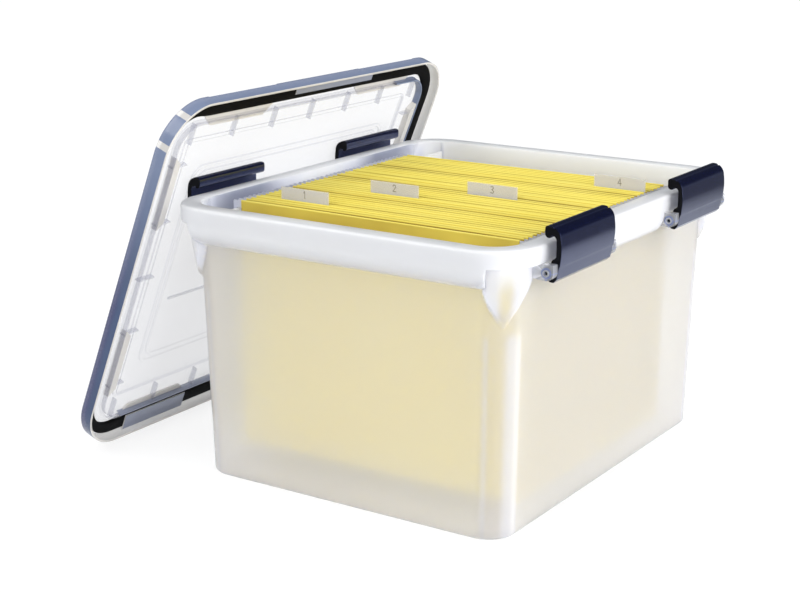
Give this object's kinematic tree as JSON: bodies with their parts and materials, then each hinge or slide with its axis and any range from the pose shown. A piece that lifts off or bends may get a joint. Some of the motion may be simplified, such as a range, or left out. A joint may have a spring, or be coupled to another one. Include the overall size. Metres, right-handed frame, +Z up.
{
  "type": "portable file box",
  "caption": "Frosted plastic storage box with hanging letter-size folders on rails, hinged side latches, and a clear gasketed lid leaning on its left side.",
  "frame": {"origin": "middle of the box's base, on the floor", "axes": "+X to the right, across the box, with the lid leaning on the -X side; +Y to the back, along the box's long sides; +Z up"},
  "size_m": [0.5103, 0.463, 0.3609],
  "materials": {
    "frosted_plastic": "clear polypropylene with a fine frost, glossy rim",
    "clear_plastic": "clear moulded plastic, polished",
    "foam_rubber": "black closed-cell foam",
    "latch_plastic": "glossy blue-black moulded plastic",
    "pin_steel": "drawn steel wire",
    "folder_card": "yellow card, matt",
    "rod_steel": "coated flat steel strip",
    "sheet_paper": "white office paper",
    "tab_plastic": "thin clear plastic sleeve",
    "tab_paper": "white label insert, blank"
  },
  "bodies": {
    "box": {"body": "frosted_plastic", "pin_right_front": "pin_steel", "pin_right_rear": "pin_steel", "pin_left_front": "pin_steel", "pin_left_rear": "pin_steel", "folders_1": "folder_card", "rods_1": "rod_steel", "papers_1": "sheet_paper", "tab_1": "tab_plastic", "tab_card_1": "tab_paper"},
    "lid": {"lid": "clear_plastic", "lid_gasket": "foam_rubber"},
    "latch_right_front": {"latch_right_front": "latch_plastic"},
    "latch_right_rear": {"latch_right_rear": "latch_plastic"},
    "latch_left_front": {"latch_left_front": "latch_plastic"},
    "latch_left_rear": {"latch_left_rear": "latch_plastic"},
    "files_2": {"folders_2": "folder_card", "rods_2": "rod_steel", "papers_2": "sheet_paper", "tab_2": "tab_plastic", "tab_card_2": "tab_paper"},
    "files_3": {"folders_3": "folder_card", "rods_3": "rod_steel", "papers_3": "sheet_paper", "tab_3": "tab_plastic", "tab_card_3": "tab_paper"},
    "files_4": {"folders_4": "folder_card", "rods_4": "rod_steel", "papers_4": "sheet_paper", "tab_4": "tab_plastic", "tab_card_4": "tab_paper"}
  },
  "joints": [
    {"name": "lid_tip", "type": "hinge", "parent": "box", "child": "lid", "pos_m": [-0.29808, -0.007, 0.0115], "axis": [0, -1, 0], "range_deg": [0, 112]},
    {"name": "latch_turn_right_front", "type": "hinge", "parent": "box", "child": "latch_right_front", "pos_m": [0.1925, -0.121, 0.242], "axis": [0, 1, 0], "range_deg": [0, 110]},
    {"name": "latch_turn_right_rear", "type": "hinge", "parent": "box", "child": "latch_right_rear", "pos_m": [0.1925, 0.121, 0.242], "axis": [0, 1, 0], "range_deg": [0, 110]},
    {"name": "latch_turn_left_front", "type": "hinge", "parent": "box", "child": "latch_left_front", "pos_m": [-0.1925, -0.121, 0.242], "axis": [0, -1, 0], "range_deg": [0, 110]},
    {"name": "latch_turn_left_rear", "type": "hinge", "parent": "box", "child": "latch_left_rear", "pos_m": [-0.1925, 0.121, 0.242], "axis": [0, -1, 0], "range_deg": [0, 110]},
    {"name": "files_4_slide", "type": "slide", "parent": "box", "child": "files_4", "axis": [0, 1, 0], "range_m": [0, 0.054]},
    {"name": "files_3_slide", "type": "slide", "parent": "box", "child": "files_3", "axis": [0, 1, 0], "range_m": [0, 0.036]},
    {"name": "files_2_slide", "type": "slide", "parent": "box", "child": "files_2", "axis": [0, 1, 0], "range_m": [0, 0.018]}
  ],
  "couplings": [
    {"joint": "files_3_slide", "follows": "files_4_slide", "ratio": 0.6666},
    {"joint": "files_2_slide", "follows": "files_4_slide", "ratio": 0.3333},
    {"joint": "latch_turn_left_front", "follows": "lid_tip", "ratio": 0.982},
    {"joint": "latch_turn_left_rear", "follows": "lid_tip", "ratio": 0.982}
  ]
}
